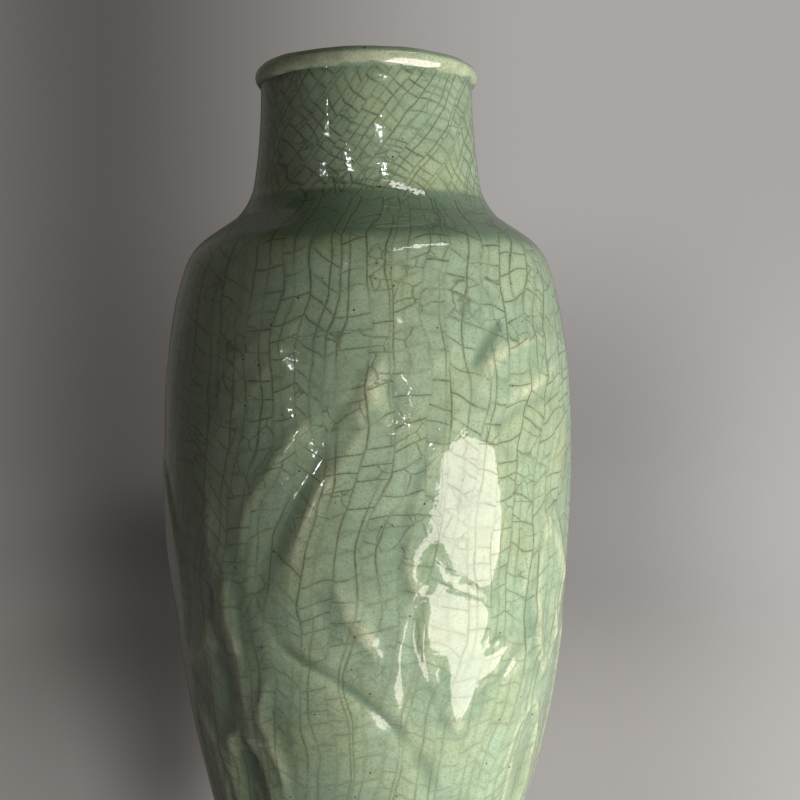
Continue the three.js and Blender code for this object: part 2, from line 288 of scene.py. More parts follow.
def smoothStep(value):
    value = np.clip(value, 0, 1)
    return value * value * (3 - 2 * value)


def quadratic(base, control, tip, t):
    return base * (1 - t) ** 2 + 2 * control * t * (1 - t) + tip * t * t


def leafSpine(leaf):
    base, tip = np.array(leaf["base"], float), np.array(leaf["tip"], float)
    run = tip - base
    left = np.array([-run[1], run[0]]) / np.linalg.norm(run)
    control = (base + tip) / 2 + left * leaf["bend"] * 2
    share = np.linspace(0, 1, 81)
    spine = quadratic(base, control, tip, share[:, None])
    skew = math.log(0.5) / math.log(leaf["fullest"])
    end = relief["endWidth"]
    width = end + (leaf["half"] - end) * np.abs(np.sin(math.pi * share ** skew)) ** leaf["point"]
    return spine, width


# A smooth line through a few places
def smoothPath(places, count=61):
    places = np.array(places, float)
    last = len(places) - 1
    line = np.zeros((count, 2))
    for i, at in enumerate(np.linspace(0, last, count)):
        k = min(int(at), last - 1)
        a, b, c, d = (places[min(max(k + step, 0), last)] for step in (-1, 0, 1, 2))
        f = at - k
        bent = (2 * a - 5 * b + 4 * c - d) * f * f + (3 * b - a - 3 * c + d) * f ** 3
        line[i] = 0.5 * (2 * b + (c - a) * f + bent)
    return line


# Where the grid's places lie beside a line: which are near, how far to its left, how far past
# its ends, and the number of the nearest point on it
def beside(along, height, line, reach):
    girth = 2 * math.pi * reliefRadius
    middle = line.mean(0)[0]
    offset = (along - middle + girth / 2) % girth - girth / 2 + middle
    low, high = line.min(0) - reach, line.max(0) + reach
    near = (offset > low[0]) & (offset < high[0]) & (height > low[1]) & (height < high[1])
    places = np.stack([offset[near], height[near]], 1)
    side = -lineNormals(line)
    heading = np.stack([side[:, 1], -side[:, 0]], 1)
    best = ((places[:, None] - line[None]) ** 2).sum(2).argmin(1)
    away = places - line[best]
    past = np.abs((away * heading[best]).sum(1)) * ((best == 0) | (best == len(line) - 1))
    return near, (away * side[best]).sum(1), past, best


def layLeaf(ground, along, height, leaf, shift):
    spine, width = leafSpine(leaf)
    near, across, past, best = beside(along, height, spine + shift, leaf["half"] + 6)
    inside = width[best] - np.abs(across) - past
    cover = smoothStep(inside / np.minimum(leaf["side"], width[best] * 0.9))
    share = across / width[best]
    swell = np.minimum(1, width[best] / 3.2)
    rise = (leaf["rise"] - leaf["dish"] * (1 - share ** 2)) * swell
    ground[near] = ground[near] * (1 - cover) + rise * cover


def drawStroke(ground, along, height, stroke, shift):
    rise, left, right, path = stroke
    line = smoothPath(path)
    reach = 2.2 * max(left, right)
    near, across, past, best = beside(along, height, line + shift, reach)
    fade = np.where(across > 0, left, right)
    share = best / (len(line) - 1)
    taper = smoothStep(np.minimum(share, 1 - share) / 0.2 + 0.12)
    ground[near] += rise * taper * np.exp(-(across ** 2 + past ** 2) / fade ** 2)


def blurred(grid, sigmaAround, sigmaUp):
    for axis, sigma, edge in ((0, sigmaAround, "wrap"), (1, sigmaUp, "clip")):
        reach = max(1, int(sigma * 3))
        steps = np.arange(-reach, reach + 1)
        kernel = np.exp(-0.5 * (steps / sigma) ** 2)
        spots = np.arange(grid.shape[axis])
        grid = sum(share * np.take(grid, spots + step, axis=axis, mode=edge)
                   for step, share in zip(steps, kernel / kernel.sum()))
    return grid


# Slow unevenness: waves that meet themselves round the vase
def waves(angle, height, count, mostTurns, slant, seed):
    rng = np.random.default_rng(seed)
    total = 0
    for _ in range(count):
        turns, climb = rng.integers(2, mostTurns), rng.uniform(-slant, slant)
        total = total + np.sin(turns * angle + climb * height + rng.uniform(0, 6.3)) / math.sqrt(turns)
    return total / total.std()


# The body, glazed outside and in, over the three wall rings and all the leaves.
body = {
    "columns": 416,
    "outerRows": 206,
    "innerRows": 18,
    "innerTop": 258,  # heights between which the inside follows the wall
    "innerFoot": 14,
    "neckPoolAndShade": 1.3,  # how dark the glaze is round the neck's foot and over the shoulder's top: glaze pooled there, and painted shade where the slope faces up
}


def bodySection():
    clay = clayOutside()
    clay = np.concatenate([
        [[wallRadius(vase["glazeEdge"]), vase["glazeEdge"]]],
        clay[clay[:, 1] > vase["glazeEdge"] + 0.5],
    ])
    # closer rows where the relief and the turn of the shoulder are
    outer = evenlySpaced(clay, 1200)
    spots = np.arange(len(outer))
    close = np.interp(outer[:, 1], [0, 50, 85, 250, 262, 290], [0.55, 0.6, 1, 1, 1.3, 1.3])
    rows = np.interp(np.linspace(0, 1, body["outerRows"]), np.cumsum(close) / close.sum(), spots)
    outer = pointsAt(outer, spots, rows)
    outer = outer + lineNormals(outer) * vase["glaze"]
    # the glaze ends in a thick soft roll above the foot
    roll = roundTurn((outer[0, 0] - 0.45, outer[0, 1] - 0.1), (0.62, 0.9), -95, -15, 5)
    inside = vase["wall"] + vase["glazeInside"]
    down = np.linspace(body["innerTop"], body["innerFoot"], body["innerRows"])
    inner = np.stack([wallRadius(down) - inside, down], 1)
    shoulderUnder = [
        (vase["neckHole"] + 0.2, vase["slopeEnd"][1] - 0.3),
        (vase["neckHole"] - 0.2, vase["slopeEnd"][1] - vase["wall"] - 0.5),
        (54, 269),
        (wallRadius(263) - inside - 1, 263),
    ]
    seat = vase["footTop"] + 0.2
    under = [(wallRadius(seat) - inside + 0.4, seat), (wallRadius(seat) - 0.05, seat)]
    skirt = [(wallRadius(vase["glazeEdge"]) + 0.02, vase["glazeEdge"] + 0.2)]
    section = np.concatenate([roll, outer, shoulderUnder, inner, under, skirt])
    return section, len(roll), len(roll) + len(outer)


def reliefGrid(section, start, end):
    around = anglesOf(body["columns"]) * reliefRadius
    along, height = np.meshgrid(around, section[start:end, 1], indexing="ij")
    ground = np.zeros_like(along)
    for turn in (0, math.pi):
        shift = np.array([turn * reliefRadius, 0])
        for leaf in leaves.values():
            layLeaf(ground, along, height, dict(zip(leafColumns, leaf)), shift)
        for stroke in strokes.values():
            drawStroke(ground, along, height, stroke, shift)
    stepUp = np.linalg.norm(np.diff(section[start:end], axis=0), axis=1).mean()
    ground = blurred(ground, relief["soften"] / around[1], relief["soften"] / stepUp)
    wander = relief["wander"] * waves(along / reliefRadius, height, 40, 30, 0.2, 11)
    # it is weaker on the shoulder and at the foot
    fade = smoothStep((268 - height) / 20) * smoothStep((height - 12) / 25)
    return ground + wander * (0.35 + 0.65 * fade)


def makeBody():
    section, start, end = bodySection()
    lift = np.zeros((body["columns"], len(section)))
    surface = reliefGrid(section, start, end)
    lift[:, start:end] = surface
    depth = np.zeros_like(lift)
    hollow = blurred(surface, 2.6, 2.2) - surface + 0.4 * (blurred(surface, 7, 6) - surface)
    height = section[start:end, 1][None]
    # glaze pooled round the neck's foot, and painted shade over the shoulder's top, which faces up
    neckPoolAndShade = body["neckPoolAndShade"] * smoothStep((height - 267) / 10)
    depth[:, start:end] = np.clip(hollow * np.where(hollow < 0, 1.5, 1.1) + neckPoolAndShade, -1.1, 1.4)
    weight = np.ones(len(section))
    weight[end:] = 0.3
    obj = turnedMesh("glazed_body", section, body["columns"], lift, depth, detail=weight)
    covered = ["lower_wall", "belly_wall", "shoulder_wall"]
    laid = [name for name in leaves if name != "centre_lobe"] + ["stem"]
    covered += [f"{name}_{side}" for name in laid for side in ("front", "back")]
    return obj, covered


# The neck and its run of glaze on to the shoulder
neckPiece = {
    "columns": 256,
    "rows": 64,  # of its outer face
    "toe": 51.5,  # radius at which its glaze has thinned into the shoulder's
    "flareFrom": 293,  # height at which the run of glaze ends
    "outerTop": 333.6,
    "top": 333.9,
    "spigotFoot": 281.8,
    "bumps": 0.1,
}


def makeNeck():
    glaze = vase["glaze"]
    slopeStart, slopeEnd = vase["shoulderTurn"][3], vase["slopeEnd"]
    slope = (slopeEnd[1] - slopeStart[1]) / (slopeEnd[0] - slopeStart[0])
    lean = math.hypot(1, slope)

    def onSlope(radius, above):
        onClay = slopeEnd[1] + (radius - slopeEnd[0]) * slope
        return (radius - slope / lean * above, onClay + above / lean)

    flare = bezier(vase["neckFlare"], 60)
    flare = flare + lineNormals(flare) * glaze
    straight = flare[flare[:, 1] > neckPiece["flareFrom"]]
    upper = np.concatenate([straight, [(flare[-1, 0], neckPiece["outerTop"])]])
    toe = np.array(onSlope(neckPiece["toe"], glaze - 0.12))
    bend = np.array(onSlope(46.6, glaze + 0.2))
    fillet = quadratic(toe, bend, upper[0], np.linspace(0, 1, 13)[:, None])[:-1]
    rows, columns = neckPiece["rows"], neckPiece["columns"]
    outer = evenlySpaced(np.concatenate([fillet, upper]), rows)
    top, low = neckPiece["top"], neckPiece["spigotFoot"]
    bore = vase["neckBore"] - vase["glazeInside"]
    inner = [(outer[-1, 0] - 0.6, top + 0.1), (bore + 0.4, top + 0.1), (bore, top - 0.6)]
    inner += [(bore + 1.2 * share, top - (top - low) * share) for share in (0.25, 0.5, 0.75, 1)]
    spigot = [(vase["neckHole"] - 0.3, low), (vase["neckHole"] - 0.3, 285.9), (44.5, 285.8)]
    spigot += [onSlope(48, 0.1), onSlope(neckPiece["toe"] - 0.4, 0.1)]
    section = np.concatenate([outer, inner, spigot])
    depth = np.zeros((columns, len(section)))
    height = outer[:, 1]
    # glaze pooled in the fillet at the neck's foot with painted shade there, and painted shade just under
    # the lip, where glaze also pools
    pool = body["neckPoolAndShade"] * smoothStep((291.5 - height) / 4)
    depth[:, :rows] = np.clip(pool + 0.5 * np.exp(-((height - vase["neckTop"]) / 2.4) ** 2), -1, 1.4)
    lift = np.zeros_like(depth)
    bumps = neckPiece["bumps"] * waves(anglesOf(columns)[:, None], height, 24, 10, 0.12, 5)
    lift[:, :rows] = bumps * smoothStep((height - 288) / 6) * smoothStep((331 - height) / 4)
    weight = np.ones(len(section))
    weight[rows:] = 0.4
    return turnedMesh("glazed_neck", section, columns, lift, depth, detail=weight)


# The rolled lip, swept round the mouth by geometry nodes. The glaze is thin and pale on its
# outer face.
lip = {
    "Columns": 256,
    "Rows": 44,
    "Radius": 38.1,  # of the middle of the roll
    "Height": 336.2,
    "Width": 4.7,  # half of the roll's width
    "Thickness": 3.9,  # half of its height
    "Wobble": 0.22,
    "Seed": 4.0,
}


def lipGroup():
    sizes = [(name, "Int" if name in ("Columns", "Rows") else "Float", value) for name, value in lip.items()]
    group, given, out = newGroup(
        "rolledLip", sizes + [("Glaze", "Material", None)], [("Roll", "Geometry")], "GeometryNodeTree")
    circle = "GeometryNodeCurvePrimitiveCircle"
    path = made(circle, {"Resolution": given["Columns"], "Radius": given["Radius"]}, "Curve")
    ring = made(circle, {"Resolution": given["Rows"], "Radius": 1}, "Curve")
    halves = vector(given["Width"], given["Thickness"], 1)
    section = made("GeometryNodeTransform", {"Geometry": ring, "Scale": halves})
    roll = made("GeometryNodeCurveToMesh", {"Curve": path, "Profile Curve": section})
    roughness = {"Scale": 0.07, "Detail": 1, "W": given["Seed"]}
    rough = made("ShaderNodeTexNoise", roughness, noise_dimensions="4D")
    push = (rough - 0.5) * (given["Wobble"] * 4)
    normal = Value(addNode(group, "GeometryNodeInputNormal").outputs[0])
    roll = made("GeometryNodeSetPosition", {"Geometry": roll, "Offset": scaled(normal, push)})
    lifted = vector(0, 0, given["Height"] * toMetres)
    roll = made("GeometryNodeTransform", {
        "Geometry": roll, "Translation": lifted, "Scale": (toMetres, toMetres, toMetres)})
    for kind in ("GeometryNodeSetShadeSmooth", "GeometryNodeRealizeInstances"):
        roll = made(kind, {0: roll})
    roll = made("GeometryNodeSetMaterial", {"Geometry": roll, "Material": given["Glaze"]})
    feed(out["Roll"], roll)
    return group


def fromNodes(name, group, values):
    holder = addObject(name + "_holder", bpy.data.meshes.new(name + "_holder"))
    modifier = holder.modifiers.new("nodes", "NODES")
    modifier.node_group = group
    for item in group.interface.items_tree:
        if item.in_out == "INPUT" and item.name in values:
            modifier[item.identifier] = values[item.name]
    evaluated = holder.evaluated_get(bpy.context.evaluated_depsgraph_get())
    mesh = bpy.data.meshes.new_from_object(evaluated)
    holder.modifiers.remove(modifier)
    bpy.data.objects.remove(holder)
    return addObject(name, mesh)


lipCrazing = 0.12  # the lip is hardly crackled


def makeLip(glaze):
    obj = fromNodes("glazed_lip", lipGroup(), {**lip, "Glaze": glaze})
    mesh = obj.data
    x, y, z = valuesOf(mesh.vertices, "co", 3).T / toMetres
    turn = np.arctan2(x, -y)
    outward = (np.hypot(x, y) - lip["Radius"]) / lip["Width"]
    upward = (z - lip["Height"]) / lip["Thickness"]
    ragged = 0.1 * (np.sin(5 * turn + 1) + np.sin(11 * turn + 2) + np.sin(23 * turn)) - 0.78
    pale = smoothStep((0.5 - upward) / 0.25) * smoothStep(outward * 3) * smoothStep((upward - ragged) / 0.15)
    depth = 0.4 - 1.7 * pale
    setValues(mesh, "poolingAndShade", depth)
    setValues(mesh, "crazing", np.full(len(z), lipCrazing))
    # the flat map for baking: round the vase, then round the roll
    corners = valuesOf(mesh.loops, "vertex_index", 1, np.int64)
    flat = np.stack([turn, np.arctan2(upward, outward)], 1) / (2 * math.pi) + 0.5
    counts = np.array([lip["Columns"], lip["Rows"]])
    flat = np.round(flat * counts) / counts % 1
    quads = flat[corners].reshape(-1, 4, 2)
    quads += (quads < 0.5) & (quads.max(1, keepdims=True) - quads > 0.5)
    mesh.uv_layers.new(name="OFBake").data.foreach_set("uv", quads.ravel())
    return obj


# The floor, glazed in the bowl of the vase and on the recess under it
floorPiece = {
    "columns": 192,
    "crazing": 0.3,
}


def makeFloor():
    rim = wallRadius(13.6) - vase["wall"] - vase["glazeInside"] + 0.3
    top = [(0, 13.9), (8, 13.9), (18, 14), (28, 14.2), (34, 14.5)]
    rise = roundTurn((rim - 5, 19.4), (5, 5), -78, -4, 10)
    side = [(rim + 0.4, 18.6), (41.2, 14.2), (41.4, 9.95), (38.3, 9.95)]
    under = roundTurn((35.6, 7.2), (2.6, 2.4), 0, -80, 6)
    below = [(30, 4.75), (20, 4.9), (8, 5.2), (0, 5.3)]
    section = np.concatenate([top, rise, side, under, below])[::-1]
    return turnedMesh(
        "glazed_floor", section, floorPiece["columns"], closed=False, crazed=floorPiece["crazing"])


# The bare foot ring, with the fine steps that the turning tool leaves
foot = {
    "columns": 256,
    "inner": 38.6,
    "outer": 46.2,
    "bevel": 1.4,
    "toolMark": 0.05,
}


def makeFoot():
    bevel, inner, outer = foot["bevel"], foot["inner"], foot["outer"]
    corners = np.array([
        (inner + bevel, 0), (outer - bevel, 0), (outer - 0.45, 0.45), (wallRadius(bevel), bevel),
        (wallRadius(5), 5), (wallRadius(vase["footTop"]), vase["footTop"]),
        (inner, vase["footTop"]), (inner, bevel), (inner + 0.45, 0.45), (inner + bevel, 0),
    ])
    section = evenlySpaced(corners, 150)[:-1]
    spots = np.arange(len(section))
    marks = foot["toolMark"] * (np.sin(spots * 2.1) + 0.6 * np.sin(spots * 0.77)) - 0.08
    marks[section[:, 1] < 0.02] = 0
    return turnedMesh("bare_foot_ring", section, foot["columns"], marks[None])


def faceOutwards(obj):
    mesh = obj.data
    mesh.calc_loop_triangles()
    places = valuesOf(mesh.vertices, "co", 3)
    corners = valuesOf(mesh.loop_triangles, "vertices", 3, np.int64)
    a, b, c = (places[corners[:, i]] for i in range(3))
    volume = (a * np.cross(b, c)).sum() / 6
    if volume < 0:
        mesh.flip_normals()
    print(obj.name, "triangles", len(mesh.loop_triangles), "volume in ml", round(abs(volume) * 1e6, 1))


# What travels along the node trees. A sum of such values is written as a sum, and becomes a node
# in their tree.
class Value:
    def __init__(self, socket):
        self.socket = socket

    def __add__(self, other):
        return calc("ADD", self, other)

    def __sub__(self, other):
        return calc("SUBTRACT", self, other)

    def __mul__(self, other):
        return calc("MULTIPLY", self, other)

    def __truediv__(self, other):
        return calc("DIVIDE", self, other)


def feed(socket, value):
    if isinstance(value, Value):
        socket.id_data.links.new(value.socket, socket)
    else:
        socket.default_value = value


def setInputs(node, inputs):
    for name, value in inputs.items():
        feed(node.inputs[name], value)


def addNode(tree, kind, inputs=None, **settings):
    node = tree.nodes.new(kind)
    for name, value in settings.items():
        setattr(node, name, value)
    setInputs(node, inputs or {})
    return node


# A node in the tree that its inputs come from, and one of its outputs
def made(kind, inputs, output=0, **settings):
    tree = next(value.socket.id_data for value in inputs.values() if isinstance(value, Value))
    return Value(addNode(tree, kind, inputs, **settings).outputs[output])


def partsOf(value, kind="ShaderNodeSeparateXYZ"):
    return [Value(socket) for socket in addNode(value.socket.id_data, kind, {0: value}).outputs]


def calc(operation, *values):
    return made("ShaderNodeMath", dict(enumerate(values)), operation=operation)


def greatest(first, *others):
    for other in others:
        first = calc("MAXIMUM", first, other)
    return first


def vector(x, y, z):
    return made("ShaderNodeCombineXYZ", {0: x, 1: y, 2: z})


def calcVector(operation, *values):
    return made("ShaderNodeVectorMath", dict(enumerate(values)), operation=operation)


def scaled(place, factor):
    return made("ShaderNodeVectorMath", {0: place, 3: factor}, operation="SCALE")


def mixed(share, first, second):
    return made("ShaderNodeMix", {0: share, 6: first, 7: second}, 2, data_type="RGBA")


def ramp(value, low, high):
    return made("ShaderNodeMapRange", {"Value": value, "From Min": low, "From Max": high},
                interpolation_type="SMOOTHSTEP")


def noise(place, scale, detail=2, roughness=0.5):
    return made("ShaderNodeTexNoise", {
        "Vector": place, "Scale": scale, "Detail": detail, "Roughness": roughness})


def hashed(number, salt):
    return made("ShaderNodeTexWhiteNoise", {"Vector": vector(number, salt, 0.5)})


def bumped(height, distance):
    return made("ShaderNodeBump", {"Height": height, "Strength": 1.0, "Distance": distance})


def linear(red, green, blue):
    def one(value):
        value /= 255
        return value / 12.92 if value <= 0.04045 else ((value + 0.055) / 1.055) ** 2.4
    return (one(red), one(green), one(blue), 1)


black, white = (0, 0, 0, 1), (1, 1, 1, 1)


def newGroup(name, inputs, outputs, kind="ShaderNodeTree"):
    group = bpy.data.node_groups.new(name, kind)
    for socketName, sort, value in inputs:
        socket = group.interface.new_socket(name=socketName, in_out="INPUT", socket_type="NodeSocket" + sort)
        if value is not None:
            socket.default_value = value
    for socketName, sort in outputs:
        group.interface.new_socket(name=socketName, in_out="OUTPUT", socket_type="NodeSocket" + sort)
    given = {socket.name: Value(socket) for socket in group.nodes.new("NodeGroupInput").outputs}
    return group, given, group.nodes.new("NodeGroupOutput").inputs


def newMaterial(name):
    material = bpy.data.materials.new(name)
    material.use_nodes = True
    place = Value(addNode(material.node_tree, "ShaderNodeTexCoord").outputs["Object"])
    return material, material.node_tree.nodes["Principled BSDF"], place


# The crazing of the glaze: long cracks that climb the vase, rungs between them, and finer
# cracks inside the cells. Lengths in it are millimetres.
crazing = {
    "Long cracks": 94.0,  # how many go round
    "Rung pitch": 7.8,
    "Wander": 1.4,  # in cells
    "Lean": 0.1,  # sideways drift for each millimetre of climb
    "Fan": 0.0002,  # how they spread towards the shoulder
    "Tilt": 1.2,  # how far the rungs' slopes differ
    "Fine size": 9.0,
    "Fine share": 0.56,
    "Line width": 0.38,
    "Even": 0.0,  # how far every crack is opened alike
}
neckCrazing = {
    "Long cracks": 62.0, "Rung pitch": 3.6, "Wander": 0.45, "Lean": 1.1, "Fan": 0.0, "Tilt": 0.6,
    "Fine size": 7.0, "Fine share": 0.5, "Line width": 0.32, "Even": 0.45,
}
fanFrom, fanTo = 170, 286  # heights
lineSoft, fineSoft = 0.34, 0.32  # how far the lines blur to each side


def crazingGroup():
    outputs = ("Crack", "Rung", "Fine crack", "Stain", "Cell tone")
    group, given, out = newGroup(
        "crazedGlaze",
        [("Place", "Vector", None)] + [(name, "Float", value) for name, value in crazing.items()],
        [(name, "Float") for name in outputs],
    )
    place, count, width = given["Place"], given["Long cracks"], given["Line width"]
    x, y, z = partsOf(place)
    radius = calc("SQRT", x * x + y * y)
    turn = calc("ARCTAN2", x, y * -1) / (2 * math.pi)
    pitch = radius * (2 * math.pi) / count
    slow = noise(place, 0.013, 1) - 0.5
    quick = noise(calcVector("MULTIPLY", place, (1, 1, 0.55)), 0.055, 2, 0.4) - 0.5
    around = turn * count + slow * (given["Wander"] * 3.6) + quick * 2.1
    # the slant, in cells for each millimetre of climb, at a radius of 60
    around = around - z * (given["Lean"] * count / (2 * math.pi * 60))
    above = calc("MINIMUM", greatest(z, fanFrom), fanTo) - fanFrom
    around = around - above * above * given["Fan"] * (x / radius)
    below = calc("FLOOR", around)

    def longCrack(step):
        # where crack number below + step runs, how far off it is, and how open it is here
        number = calc("FLOORED_MODULO", below + step, count)
        runs = below + step + (hashed(number, 3.7) - 0.5) * 0.8
        opening = ramp(noise(vector(number * 5.3, z * 0.022, 0), 1.0, 1), 0.4, 0.62)
        away = calc("ABSOLUTE", around - runs) * pitch
        return runs, away, greatest(opening * 0.9 + 0.1, given["Even"])

    def drawn(away, lineWidth, soft=lineSoft):
        edge = lineWidth * 0.5
        return ramp(away, edge + soft, edge * 0.4)

    left, leftAway, leftOpen = longCrack(0)
    right, rightAway, rightOpen = longCrack(1)
    crack = greatest(drawn(leftAway, width) * leftOpen, drawn(rightAway, width) * rightOpen)
    cell = below + calc("GREATER_THAN", around, right) - calc("LESS_THAN", around, left)
    # each rung crosses a pair of cells, square to the long cracks but for a random tilt
    pair = calc("FLOOR", cell * 0.5)
    inPair = (around - (pair * 2 + 1)) * pitch
    pair = calc("FLOORED_MODULO", pair, count * 0.5)
    drift = given["Lean"] * radius / 60
    square = drift / (drift * drift + 1)
    tilt = (hashed(pair, 23.1) - 0.5) * given["Tilt"] + square
    climb = inPair * tilt + z + (noise(place, 0.055, 1) - 0.5) * 8.0
    ladder = {"W": climb / given["Rung pitch"] + pair * 17.31, "Scale": 1.0}
    cells = "ShaderNodeTexVoronoi"
    rungs = made(cells, ladder, "Distance", voronoi_dimensions="1D", feature="DISTANCE_TO_EDGE")
    rungAway = rungs * given["Rung pitch"]
    tone = partsOf(made(cells, ladder, "Color", voronoi_dimensions="1D"), "ShaderNodeSeparateColor")
    rungOpen = ramp(noise(place, 0.06, 1), 0.38, 0.56) * 0.85 + 0.15
    rung = drawn(rungAway, width * 0.7) * greatest(rungOpen, given["Even"])

    shift = vector(tone[1] * 60.0, 0, tone[2] * 60.0)
    wobble = made("ShaderNodeTexNoise", {"Vector": place, "Scale": 0.11, "Detail": 2}, "Color")
    shaken = calcVector("ADD", calcVector("MULTIPLY_ADD", wobble, (5.0, 5.0, 5.0), place), shift)
    fineCells = {"Vector": shaken, "Scale": calc("DIVIDE", 1.0, given["Fine size"])}
    edges = made(cells, fineCells, "Distance", feature="DISTANCE_TO_EDGE")
    shown = ramp(tone[0] * 0.3 + noise(place, 0.035, 2) + given["Fine share"], 1.12, 1.32)
    fine = drawn(edges * given["Fine size"], width * 0.5, fineSoft) * shown
    near = calc("MINIMUM", calc("MINIMUM", leftAway, rightAway), rungAway)
    for name, value in zip(outputs, (crack, rung, fine, ramp(near, 1.6, 0.1), tone[0])):
        feed(out[name], value)
    return group


glazeLook = {
    "clear": linear(161, 180, 150),
    "deep": linear(108, 132, 109),  # where the glaze lies thick, and for painted shade on the shoulder's top and under the lip
    "thin": linear(198, 204, 168),  # on edges and on the lip
    "warm": linear(168, 180, 141),
    "crack": linear(76, 78, 48),
    "stain": linear(134, 144, 104),
    "pit": linear(38, 36, 26),
    "roughness": 0.035,
    "neckFrom": 286.6,  # height
    "bump": 0.00014,  # metres
    "refraction": 1.52,
}


def glazeMaterial(crazedGlaze):
    material, shader, place = newMaterial("crackled_celadon")
    tree = material.node_tree
    place = scaled(place, 1 / toMetres)
    height = partsOf(place)[2]
    onNeck = calc("GREATER_THAN", height, glazeLook["neckFrom"])
    high = ramp(height, 150, 250)
    low = ramp(height, 200, 90)
    poolingAndShade, crazed = (
        Value(addNode(tree, "ShaderNodeAttribute", attribute_name=name).outputs["Fac"])
        for name in ("poolingAndShade", "crazing"))
    poolingAndShade = poolingAndShade * (noise(place, 0.07, 2) * 0.9 + 0.55)
    given = {name: onNeck * (neckCrazing[name] - value) + value for name, value in crazing.items()}
    given["Wander"] = given["Wander"] + high * 0.5
    cracks = addNode(tree, "ShaderNodeGroup", {"Place": place, **given}, node_tree=crazedGlaze)
    crack, rung, fine, stain, tone = (Value(socket) for socket in cracks.outputs)
    lines = greatest(crack * (low * -0.18 + 0.62), rung * (low * -0.35 + 0.6), fine * (low * -0.38 + 0.5))
    lines = lines * (onNeck * 0.1 + 1.0) * (noise(place, 0.6, 3, 0.7) * 1.6 + 0.2)
    specks = addNode(tree, "ShaderNodeTexVoronoi", {"Vector": place, "Scale": 0.22}).outputs
    size = partsOf(Value(specks["Color"]), "ShaderNodeSeparateColor")[0]
    pits = made("ShaderNodeMapRange", {
        "Value": Value(specks["Distance"]) - size * 0.065, "From Min": 0.03, "From Max": 0.0})
    colour = mixed(ramp(noise(place, 0.04, 3, 0.6), 0.4, 0.7), glazeLook["clear"], glazeLook["warm"])
    for share, tint in [
        (ramp(tone, 0.2, 1.0) * 0.07, "deep"),
        # pooled glaze, and painted shade on the shoulder's top and under the lip
        (ramp(poolingAndShade, 0.05, 1.0), "deep"),
        (ramp(poolingAndShade, -0.08, -1.0), "thin"),
        (stain * 0.3 * crazed, "stain"),
        (ramp(noise(place, 0.03, 3, 0.6), 0.52, 0.36) * 0.25, "deep"),  # clouds
        (ramp(noise(place, 0.16, 2, 0.6), 0.42, 0.7) * 0.3, "deep"),  # mottles
        (ramp(noise(place, 1.2, 3, 0.75), 0.46, 0.66) * 0.5, "deep"),  # grain
        (ramp(noise(place, 1.7, 2, 0.7), 0.56, 0.7) * 0.22, "thin"),  # bubbles
        (lines * crazed, "crack"),
        (pits, "pit"),
    ]:
        colour = mixed(share, colour, glazeLook[tint])
    dimples = noise(place, 0.9, 1) * 0.12 + noise(place, 0.22, 2)
    setInputs(shader, {
        "Base Color": colour,
        "Roughness": ramp(noise(place, 0.5, 2), 0.4, 0.8) * 0.05 + glazeLook["roughness"],
        "Normal": bumped(dimples - crack * 0.02, glazeLook["bump"]),
        "IOR": glazeLook["refraction"],
    })
    return material


bareLook = {
    "clay": linear(151, 103, 70),
    "burnt": linear(104, 62, 40),
    "pale": linear(186, 150, 112),
    "roughness": 0.78,
    "bump": 0.0002,
}


def bareMaterial():
    material, shader, place = newMaterial("bare_stoneware")
    place = scaled(place, 1 / toMetres)
    grit = noise(place, 1.9, 3, 0.65)
    colour = mixed(ramp(noise(place, 0.06, 3), 0.35, 0.7), bareLook["clay"], bareLook["burnt"])
    colour = mixed(ramp(grit, 0.55, 0.8) * 0.6, colour, bareLook["pale"])
    setInputs(shader, {
        "Base Color": colour,
        "Roughness": ramp(grit, 0.3, 0.8) * 0.12 + bareLook["roughness"],
        "Normal": bumped(grit, bareLook["bump"]),
    })
    return material


studio = {
    "lit": linear(198, 194, 192),  # paper to the right of the vase
    "shaded": linear(102, 98, 95),  # and to its left, behind it
    "floorRadius": 1.5,
    "bend": 0.9,
    "wallTop": 3.2,
    # how dark the painted shadow low behind the vase is
    "hollow": 0.35,
    "castShade": 0.61,  # how dark the soft shade is beside the vase, on its left
    "castBearing": -0.165,
    # how much painted light lies low on the paper to the right
    "paintedLightRight": 0.24,
    "unlit": 0.985,  # how much of the lamps' light the paper doesn't take in front and under the key
    "mirrorShare": 0.6,  # how much of the paper's glow mirrors see
    "nearGlow": 0.27,
    "leftGlow": 0.35,  # more of it on the left
    "farGlow": 0.7,  # the far paper shows its tone by this share, and by the lamps for the rest
    "world": (0.46, 0.43, 0.37, 1),
    "worldStrength": 0.1,
}
